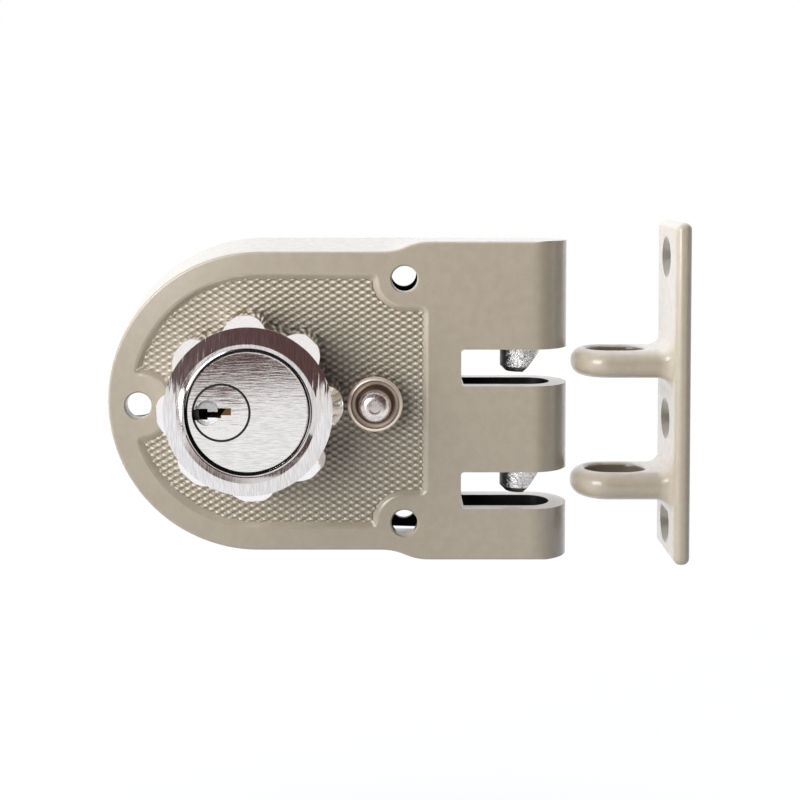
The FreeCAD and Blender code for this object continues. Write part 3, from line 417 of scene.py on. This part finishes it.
def case_paint():
    """The same lacquer, with black inside the hollow fingers: bare metal there, painted black as
    painted shade.
    """
    material, tree, shader = paint("case_lacquer")
    x, y, z = parts_of(tree)
    past = math_of(tree, "MAXIMUM", x, finger_bore_mm[0])
    inside = reach_of(tree, past, finger_bore_mm[0], y, finger_bore_mm[1])
    # Painted shade: black inside the hollow fingers
    mask = both(
        tree,
        math_of(tree, "LESS_THAN", inside, finger_bore_radius_mm),
        math_of(tree, "GREATER_THAN", x, finger_bore_start_mm),
        math_of(tree, "LESS_THAN", math_of(tree, "ABSOLUTE", z), case_roof_mm),
    )
    coat(tree, shader, mask, black)
    return material


def strike_paint():
    """The same lacquer, with greyer bare metal in the countersinks and brown painted shade in the
    rings' eyes.
    """
    material, tree, shader = paint("strike_lacquer")
    x, y, z = parts_of(tree)
    middle = strike_face_x_mm + strike_thickness_mm / 2
    deep = math_of(tree, "COMPARE", x, middle, strike_thickness_mm / 2 - strike_skin_mm)
    for hole_z in strike_hole_z_mm:
        reach = reach_of(tree, y, bolt_axis_y_mm, z, hole_z)
        mask = both(tree, deep, math_of(tree, "LESS_THAN", reach, strike_sink_mm))
        coat(tree, shader, mask, sink_metal, roughness=0.25, metallic=0.7)
    slot_start, slot_end = strike_slot_x_mm
    near = math_of(tree, "MINIMUM", math_of(tree, "MAXIMUM", x, slot_start), slot_end)
    offset = math_of(tree, "SUBTRACT", x, near)
    reach = reach_of(tree, offset, 0.0, y, bolt_axis_y_mm)
    # Painted shade: brown in the rings' eyes
    coat(tree, shader, math_of(tree, "LESS_THAN", reach, strike_slot_radius_mm), slot_shade_brown)
    return material


def stud_paint():
    """The same lacquer on the studs, with painted shade down in the grooves between them and a
    painted highlight on their tops.
    """
    material, tree, shader = paint("stud_lacquer")
    y = parts_of(tree)[1]
    low = panel_floor_mm - stud_base_mm
    # Painted shade in the grooves and painted highlight on the tops, by height
    height = ramp_of(tree, y, low - stud_rise_mm * stud_shade_start, low - stud_rise_mm)
    colour = mix_of(tree, height, stud_shade_colour, stud_highlight_colour)
    tree.links.new(colour, shader.inputs["Base Color"])
    return material


def lean_of(tree, shader, amount):
    """Lean the surface's normal up or down by an amount, in radians."""
    shift = tree.nodes.new("ShaderNodeCombineXYZ")
    tree.links.new(amount, shift.inputs[2])
    total = node_of(tree, "ShaderNodeVectorMath", operation="ADD")
    tree.links.new(shader.inputs["Normal"].links[0].from_socket, total.inputs[0])
    tree.links.new(shift.outputs[0], total.inputs[1])
    unit = node_of(tree, "ShaderNodeVectorMath", operation="NORMALIZE")
    tree.links.new(total.outputs[0], unit.inputs[0])
    tree.links.new(unit.outputs[0], shader.inputs["Normal"])


def brushed(name, colour, stretch, gloss, depth_mm, shade):
    """Metal with fine scratches along one axis.

    Stretch is the scratch rate per axis, gloss the roughness between and in the scratches,
    and shade how dark they are.
    """
    material, tree, shader = material_of(name, colour, metallic=1.0, roughness=gloss[0])
    place = place_of(tree, stretch)
    fine_place = place_of(tree, [value * fine_scratch_rate for value in stretch])
    coarse = noise_of(tree, place, scale=1.0, detail=4.0, roughness=0.6, distortion=0.2)
    fine = noise_of(tree, fine_place, scale=1.0, detail=3.0)
    weak = math_of(tree, "MULTIPLY", fine, fine_scratch_share)
    bump_of(tree, shader, math_of(tree, "ADD", coarse, weak), depth_mm)
    tree.links.new(ramp_of(tree, fine, *noise_scratch, *gloss), shader.inputs["Roughness"])
    dark = tuple(value * shade for value in colour)
    tint = mix_of(tree, ramp_of(tree, fine, *noise_narrow), dark, colour)
    tree.links.new(tint, shader.inputs["Base Color"])
    return material, tree, shader


def grained(name, colour, roughness, scale, depth_mm, strength):
    """Metal with a cast or plated grain."""
    material, tree, shader = material_of(name, colour, metallic=1.0, roughness=roughness)
    place = place_of(tree)
    grain = noise_of(tree, place, scale, detail=5.0, roughness=0.65)
    blotch = noise_of(tree, place, scale * blotch_rate, detail=3.0)
    dark = tuple(value * blotch_shade for value in colour)
    tint = mix_of(tree, ramp_of(tree, blotch, *noise_narrow), dark, colour)
    tree.links.new(tint, shader.inputs["Base Color"])
    limits = [roughness * value for value in roughness_spread]
    tree.links.new(ramp_of(tree, grain, *noise_wide, *limits), shader.inputs["Roughness"])
    bump_of(tree, shader, grain, depth_mm, strength)
    return material, tree, shader


def collar_finish():
    """Lobed collar: bright chrome with the finest of scratches."""
    return brushed(
        "chrome",
        lobe_metal,
        stretch=(0.6, 0.6, 0.6),
        gloss=(0.04, 0.08),
        depth_mm=0.01,
        shade=0.95,
    )[0]


def ring_finish():
    """Tapered ring: upright streaks, and black painted shade in the groove, thicker at the lower
    left.
    """
    material, tree, shader = brushed(
        "ring_brushed",
        ring_metal,
        stretch=(1.7, 0.1, 0.1),
        gloss=(0.06, 0.14),
        depth_mm=0.008,
        shade=0.80,
    )
    x, _, z = parts_of(tree)
    reach = reach_of(tree, x, cylinder_x_mm, z, 0.0)
    streak = noise_of(tree, place_of(tree, stretch=(2.0, 0.1, 0.1)), scale=1.0, detail=4.0)
    slope = ramp_of(tree, streak, *noise_wide, -ring_lean, ring_lean, smooth=False)
    lean_of(tree, shader, both(tree, slope, math_of(tree, "GREATER_THAN", reach, ring_lip_mm)))
    # Painted shade: black in the groove, thicker at the lower left
    shift_x, shift_z = groove_shade_shift_mm
    groove = reach_of(tree, x, cylinder_x_mm + shift_x, z, shift_z)
    mask = math_of(tree, "LESS_THAN", groove, ring_groove_shade_mm)
    coat(tree, shader, mask, black, black_roughness, metallic=0.0)
    return material


def face_finish():
    """Cylinder face: level brushing that blurs reflections up and down; black painted shade on the
    head's side behind its edge.
    """
    material, tree, shader = brushed(
        "face_brushed", face_metal, face_brushing, gloss=(0.02, 0.07), depth_mm=0.007, shade=0.78
    )
    y = parts_of(tree)[1]
    # Painted shade: black on the head's side behind the face's edge
    behind = math_of(tree, "GREATER_THAN", y, face_y_mm + head_side_start_mm)
    coat(tree, shader, behind, black, black_roughness, metallic=0.0)
    return material


def plug_finish():
    """Plug face: as the cylinder's, with a black rim line and a black keyway as painted shade, a
    brass step in the keyway that glows as painted light, and a dimple in painted shade with a
    painted highlight low in it.
    """
    material, tree, shader = brushed(
        "plug_brushed", face_metal, face_brushing, gloss=(0.03, 0.07), depth_mm=0.006, shade=0.93
    )
    x, y, z = parts_of(tree)
    wave = noise_of(tree, place_of(tree, face_brushing), scale=1.0, detail=4.0)
    lean_of(tree, shader, ramp_of(tree, wave, *noise_wide, 0.0, 2 * plug_lean, smooth=False))
    sunk = math_of(tree, "GREATER_THAN", y, face_y_mm + sunk_depth_mm)
    dimple = math_of(tree, "LESS_THAN", reach_of(tree, x, dimple_x_mm, z, 0.0), dimple_radius_mm)
    lower = ramp_of(tree, z, *dimple_highlight_z_mm)
    # Painted shade: the dimple grey; painted highlight: its lower part white
    round_mark = both(tree, sunk, dimple)
    for mask, colour in ((round_mark, dimple_shade_grey), (both(tree, round_mark, lower), dimple_highlight_white)):
        coat(tree, shader, mask, colour, roughness=0.35, metallic=0.3)
    # Painted shade: black deep in the keyway
    deep = math_of(tree, "GREATER_THAN", y, face_y_mm + keyway_shade_depth_mm)
    coat(tree, shader, deep, black, black_roughness, metallic=0.0)
    brass = both(tree, sunk, math_of(tree, "GREATER_THAN", x, keyway_brass_x_mm))
    coat(tree, shader, brass, keyway_brass, roughness=0.4, metallic=0.4)
    # Painted light: the brass deep in the keyway glows
    shader.inputs["Emission Color"].default_value = (*keyway_painted_glow, 1.0)
    tree.links.new(both(tree, brass, deep), shader.inputs["Emission Strength"])
    # Painted shade: the black rim line around the plug
    rim = math_of(tree, "GREATER_THAN", reach_of(tree, x, plug_x_mm, z, 0.0), plug_rim_shade_mm)
    coat(tree, shader, rim, black, black_roughness, metallic=0.0)
    return material


def button_finish():
    """Nickelled button: bright boss, satin brow with a painted cream sheen, and brown painted shade
    in the valley between them.
    """
    material, tree, shader = grained(
        "button_nickel", button_metal, roughness=0.27, scale=1.6, depth_mm=0.03, strength=0.4
    )
    x, y, z = parts_of(tree)
    reach = reach_of(tree, x, button_x_mm, z, 0.0)
    # Painted sheen: the brow in cream
    brow = ramp_of(tree, reach, button_boss_mm, button_boss_mm + button_brow_start_mm)
    coat(tree, shader, brow, button_brow_sheen, roughness=0.5, metallic=0.9)
    # Painted shade: brown in the valley between the boss and the brow
    brow_end = button_brow_mm + button_brow_fade_mm
    inside = ramp_of(tree, reach, brow_end, button_brow_mm - button_brow_fade_mm)
    fade_in, fade_out = button_boss_fade_mm
    outside = ramp_of(tree, reach, button_boss_mm + fade_in, button_boss_mm + fade_out)
    level = math_of(tree, "GREATER_THAN", y, button_boss_top_mm)
    coat(tree, shader, both(tree, inside, outside, level), button_valley_shade, roughness=0.34)
    return material


def bolt_finish():
    """Bright rough-cast zinc with dark flecks, with painted shade making them denser on the side
    away from the strike.
    """
    material, tree, shader = grained(
        "bright_zinc", bolt_metal, roughness=0.16, scale=1.2, depth_mm=0.4, strength=1.0
    )
    x = parts_of(tree)[0]
    fleck = noise_of(tree, place_of(tree), scale=1.5, detail=6.0, roughness=0.8)
    # Painted shade: flecks denser on the flank away from the strike
    flank_end, flank_start = bolt_shade_flank_x_mm
    flank = ramp_of(tree, x, flank_start, flank_end, 0.0, bolt_flank_shade_flecks)
    dark = ramp_of(tree, math_of(tree, "ADD", fleck, flank), *bolt_fleck_limits)
    coat(tree, shader, dark, bolt_fleck_colour, roughness=0.3)
    return material


def dress(material, *nodes):
    """Give a material to CAD nodes or new pieces."""
    for item in nodes:
        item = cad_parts[item] if isinstance(item, str) else item
        if not item.material_slots:
            item.data.materials.append(material)
        for place in item.material_slots:
            place.material = material


def mesh_piece(name, vertices, faces, body):
    """New mesh object, given in millimetres, that rides on a body."""
    mesh = bpy.data.meshes.new(name)
    mesh.from_pydata([tuple(value * MM for value in point) for point in vertices], [], faces)
    mesh.update()
    piece = bpy.data.objects.new(name, mesh)
    bpy.context.scene.collection.objects.link(piece)
    mesh.polygons.foreach_set("use_smooth", [True] * len(mesh.polygons))
    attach(piece, body)
    return piece


def panel_margin(x, z):
    """How far a point is inside the panel's floor, in millimetres; negative outside."""
    if x < 0:
        margin = panel_radius_mm - math.hypot(x, z)
    else:
        margin = min(panel_radius_mm - abs(z), panel_right_mm - x)
    margin = min(margin, math.hypot(x - left_hole_mm[0], z - left_hole_mm[1]) - left_notch_mm)
    for hole in right_holes_mm:
        margin = min(margin, math.hypot(x - hole[0], z - hole[1]) - right_notch_mm)
    if x > right_holes_mm[0][0]:
        margin = min(margin, panel_corner_z_mm - abs(z))
    margin = min(margin, math.hypot(x - cylinder_x_mm, z) - seat_radius_mm)
    return min(margin, math.hypot(x - button_x_mm, z) - ferrule_radius_mm)


def panel_sheet():
    """The panel's pattern of low diamond studs, as a thin sheet let into the panel's floor."""
    step_x = stud_width_mm / stud_steps
    step_z = stud_height_mm / stud_steps
    reach = panel_radius_mm + sheet_reach_mm
    first_column = math.ceil(-reach / step_x)
    last_column = math.ceil((panel_right_mm + sheet_reach_mm) / step_x)
    count_z = math.ceil(reach / step_z)
    spots = {}
    vertices = []
    for column in range(first_column, last_column + 1):
        for row in range(-count_z, count_z + 1):
            x, z = column * step_x, row * step_z
            if panel_margin(x, z) < -sheet_overlap_mm:
                continue
            along, across = x / stud_width_mm, z / stud_height_mm
            wave = math.cos(2 * math.pi * along) * math.cos(2 * math.pi * across)
            rise = stud_base_mm + stud_rise_mm * (0.5 + 0.5 * wave) ** stud_point
            spots[column, row] = len(vertices)
            vertices.append((x, panel_floor_mm - rise, z))
    faces = []
    for column, row in spots:
        ring = [(column, row), (column + 1, row), (column + 1, row + 1), (column, row + 1)]
        if all(spot in spots for spot in ring):
            faces.append([spots[spot] for spot in ring])
    sheet = mesh_piece("panel_studs", vertices, faces, "case_body")
    shape = bmesh.new()
    shape.from_mesh(sheet.data)
    loose = [point for point in shape.verts if not point.link_faces]
    bmesh.ops.delete(shape, geom=loose, context="VERTS")
    shape.to_mesh(sheet.data)
    shape.free()
    thick = sheet.modifiers.new("thickness", "SOLIDIFY")
    thick.thickness = sheet_thickness_mm * MM
    thick.offset = -1.0
    return sheet


def studio():
    """World: soft lobes of light for matt surfaces, a white hall and dark room for gloss."""
    world = bpy.data.worlds.new("studio")
    bpy.context.scene.world = world
    world.use_nodes = True
    tree = world.node_tree
    tree.nodes.clear()
    spot = tree.nodes.new("ShaderNodeTexCoord")
    parts = tree.nodes.new("ShaderNodeSeparateXYZ")
    tree.links.new(spot.outputs["Generated"], parts.inputs[0])
    x, y, z = parts.outputs
    edge = math_of(tree, "MULTIPLY_ADD", x, room_tilt[0], room_height)
    edge = math_of(tree, "MULTIPLY_ADD", y, room_tilt[1], edge)
    above = ramp_of(tree, math_of(tree, "SUBTRACT", z, edge), -room_edge, room_edge)
    ahead = ramp_of(tree, y, *room_ahead)
    side = both(tree, ramp_of(tree, x, *side_right), ramp_of(tree, y, *side_ahead))
    hall = mix_of(tree, side, hall_colour, side_colour)
    gloss = mix_of(tree, both(tree, above, ahead), hall, room_colour)
    even = node_of(tree, "ShaderNodeValue").outputs[0]
    even.default_value = even_least
    for bearing, height, strength, tint in even_lobes:
        turn, lift = math.radians(bearing), math.radians(height)
        facing = node_of(tree, "ShaderNodeVectorMath", operation="DOT_PRODUCT")
        tree.links.new(spot.outputs["Generated"], facing.inputs[0])
        facing.inputs[1].default_value = (
            math.sin(turn) * math.cos(lift),
            -math.cos(turn) * math.cos(lift),
            math.sin(lift),
        )
        lobe = math_of(tree, "MAXIMUM", facing.outputs["Value"], 0.0)
        lobe = math_of(tree, "POWER", lobe, even_lobe_power)
        total = node_of(tree, "ShaderNodeVectorMath", operation="MULTIPLY_ADD")
        tree.links.new(lobe, total.inputs[0])
        total.inputs[1].default_value = [strength * value for value in tint]
        tree.links.new(even, total.inputs[2])
        even = total.outputs[0]
    path = tree.nodes.new("ShaderNodeLightPath")
    shown = mix_of(tree, path.outputs["Is Glossy Ray"], even, gloss)
    direct = math_of(
        tree, "MAXIMUM", path.outputs["Is Camera Ray"], path.outputs["Is Transmission Ray"]
    )
    shown = mix_of(tree, direct, shown, white)
    back = tree.nodes.new("ShaderNodeBackground")
    tree.links.new(shown, back.inputs["Color"])
    out = tree.nodes.new("ShaderNodeOutputWorld")
    tree.links.new(back.outputs[0], out.inputs["Surface"])


def glint_lamp():
    """Small lamp ahead that only shows as soft highlights on gloss."""
    data = bpy.data.lights.new("glint", "AREA")
    data.size = glint_size_mm * MM
    data.energy = glint_power
    lamp = bpy.data.objects.new("glint", data)
    bpy.context.scene.collection.objects.link(lamp)
    spot = Vector(glint_spot_mm) * MM
    lamp.location = spot
    lamp.rotation_euler = (Vector(glint_aim_mm) * MM - spot).to_track_quat("-Z", "Y").to_euler()
    lamp.visible_diffuse = False


def floor_sheet():
    """Plain pale floor below the object; the camera and glossy rays see it as white."""
    mesh = bpy.data.meshes.new("floor")
    corners = [
        (-floor_half, floor_front, floor_level),
        (floor_half, floor_front, floor_level),
        (floor_half, floor_half, floor_level),
        (-floor_half, floor_half, floor_level),
    ]
    mesh.from_pydata(corners, [], [(0, 1, 2, 3)])
    floor = bpy.data.objects.new("floor", mesh)
    bpy.context.scene.collection.objects.link(floor)
    material, tree, shader = material_of("floor_white", floor_colour, roughness=0.9)
    path = tree.nodes.new("ShaderNodeLightPath")
    grey = mix_of(tree, path.outputs["Is Diffuse Ray"], floor_colour, floor_bounce_colour)
    tree.links.new(grey, shader.inputs["Base Color"])
    seen = math_of(
        tree, "MAXIMUM", path.outputs["Is Camera Ray"], path.outputs["Is Transmission Ray"]
    )
    seen = math_of(tree, "MAXIMUM", seen, path.outputs["Is Glossy Ray"])
    glow = node_of(tree, "ShaderNodeEmission", Color=(*white, 1.0), Strength=1.0)
    blend = tree.nodes.new("ShaderNodeMixShader")
    tree.links.new(math_of(tree, "MULTIPLY", seen, floor_whiteness), blend.inputs[0])
    tree.links.new(shader.outputs[0], blend.inputs[1])
    tree.links.new(glow.outputs[0], blend.inputs[2])
    out = tree.nodes["Material Output"]
    tree.links.new(blend.outputs[0], out.inputs["Surface"])
    mesh.materials.append(material)


def camera():
    """The photograph's camera."""
    data = bpy.data.cameras.new("camera")
    data.sensor_width = sensor_mm
    data.lens = focal_px / picture_px * sensor_mm
    half = picture_px / 2
    axis_y = vanishing_px[1] + focal_px * math.tan(math.radians(pitch_deg))
    data.shift_x = (half - vanishing_px[0]) / picture_px
    data.shift_y = (axis_y - half) / picture_px
    data.dof.use_dof = False
    data.clip_start = 0.01
    data.clip_end = 20.0
    eye = bpy.data.objects.new("camera", data)
    bpy.context.scene.collection.objects.link(eye)
    eye.location = Vector(eye_mm) * MM
    eye.rotation_euler = (math.radians(90 - pitch_deg), 0, 0)
    bpy.context.scene.camera = eye


camera()
studio()
floor_sheet()
glint_lamp()

dress(case_paint(), "case")
dress(stud_paint(), panel_sheet())
dress(strike_paint(), "strike")
dress(collar_finish(), "lobed_collar")
dress(ring_finish(), "collar_ring")
dress(face_finish(), "cylinder_shell")
dress(plug_finish(), "cylinder_plug")
dress(button_finish(), "hold_button")
dress(bolt_finish(), "upper_bolt", "lower_bolt")
for metal_name, values in plain_metals.items():
    dress(grained(metal_name, **values)[0], *plain_metal_nodes[metal_name])

scene = bpy.context.scene
scene.view_settings.view_transform = "Standard"
